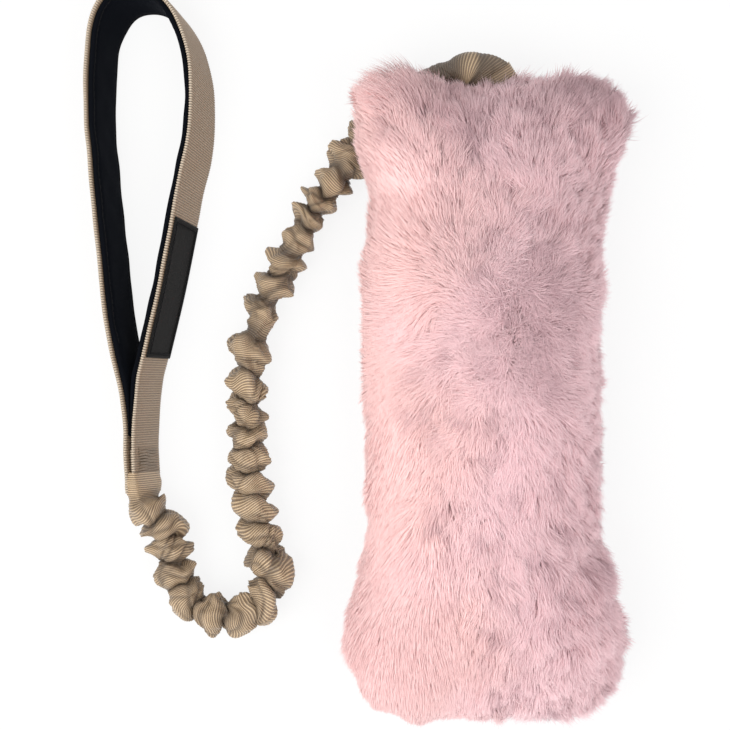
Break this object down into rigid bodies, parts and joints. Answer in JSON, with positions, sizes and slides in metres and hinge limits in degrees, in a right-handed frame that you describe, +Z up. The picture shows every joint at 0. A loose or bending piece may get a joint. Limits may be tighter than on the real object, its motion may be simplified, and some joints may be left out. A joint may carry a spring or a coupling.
{
  "type": "bungee tug toy",
  "caption": "Stuffed fur pillow with a squeaker on a gathered elastic strap, ending in a padded webbing handle loop.",
  "frame": {"origin": "centre of the bounding box without the bungee strap, on the surface the toy lies on", "axes": "+Z up from the surface, +Y along the pillow towards the end that holds the strap, +X towards the pillow's side of the toy"},
  "size_m": [0.254, 0.3454, 0.0563],
  "materials": {
    "fur": "long soft pile",
    "fill": "polyester stuffing",
    "webbing": "woven, slightly glossy",
    "lining": "soft padded knit",
    "label": "woven tape",
    "thread": "twisted polyester",
    "black_thread": "twisted polyester",
    "elastic": "covered elastic cord",
    "squeaker": "soft blown plastic",
    "reed": "moulded"
  },
  "bodies": {
    "toy_body": {"fur_back_panel": "fur", "fill_back": "fill", "squeaker_bulb": "squeaker", "squeaker_reed": "reed", "seam_thread": "thread", "anchor_tab": "webbing", "anchor_bartack": "thread"},
    "front_face": {"fur_front_panel": "fur", "fill_front": "fill"},
    "strap_upper": {"sleeve_root": "webbing", "core_root": "elastic"},
    "strap_middle": {"sleeve_upper": "webbing", "core_upper": "elastic"},
    "strap_lower": {"sleeve_lower": "webbing", "core_lower": "elastic"},
    "strap_tail": {"sleeve_bend": "webbing", "core_bend": "elastic", "sleeve_neck": "webbing"},
    "handle": {"handle_webbing": "webbing", "handle_lining": "lining", "handle_label": "label", "label_stitching": "black_thread", "lining_stitch_lower": "black_thread", "lining_stitch_upper": "black_thread", "neck_bartack_right": "thread", "neck_bartack_left": "thread", "handle_tab": "webbing"}
  },
  "joints": [
    {"name": "body_squeeze", "type": "slide", "parent": "toy_body", "child": "front_face", "axis": [0, 0, -1], "range_m": [0, 0.016], "stiffness_N_per_m": 800, "springref_m": -0.003, "deforming": ["fur_front_panel", "fill_front", "fill_back", "squeaker_bulb"]},
    {"name": "strap_swing", "type": "hinge", "parent": "toy_body", "child": "strap_upper", "pos_m": [0.06362, 0.12546, 0.0285], "axis": [0, 0, 1], "range_deg": [-125, 0], "deforming": ["sleeve_root", "core_root"]},
    {"name": "bungee_stretch", "type": "slide", "parent": "strap_upper", "child": "strap_middle", "axis": [-0.44, -0.898, 0], "range_m": [0, 0.08], "stiffness_N_per_m": 800, "deforming": ["sleeve_upper", "core_upper"]},
    {"name": "bungee_stretch_lower", "type": "slide", "parent": "strap_middle", "child": "strap_lower", "axis": [0.101, -0.9949, 0], "range_m": [0, 0.08], "stiffness_N_per_m": 800, "deforming": ["sleeve_lower", "core_lower"]},
    {"name": "strap_bend", "type": "hinge", "parent": "strap_lower", "child": "strap_tail", "pos_m": [-0.05738, -0.12774, 0.0105], "axis": [0, 0, 1], "range_deg": [0, 135], "deforming": ["sleeve_bend", "core_bend"]},
    {"name": "handle_lift", "type": "hinge", "parent": "strap_tail", "child": "handle", "pos_m": [-0.09928, -0.06954, 0.008], "axis": [1, 0, 0], "range_deg": [0, 105], "deforming": ["sleeve_neck"]}
  ],
  "couplings": [
    {"joint": "bungee_stretch_lower", "follows": "bungee_stretch", "ratio": 1}
  ]
}
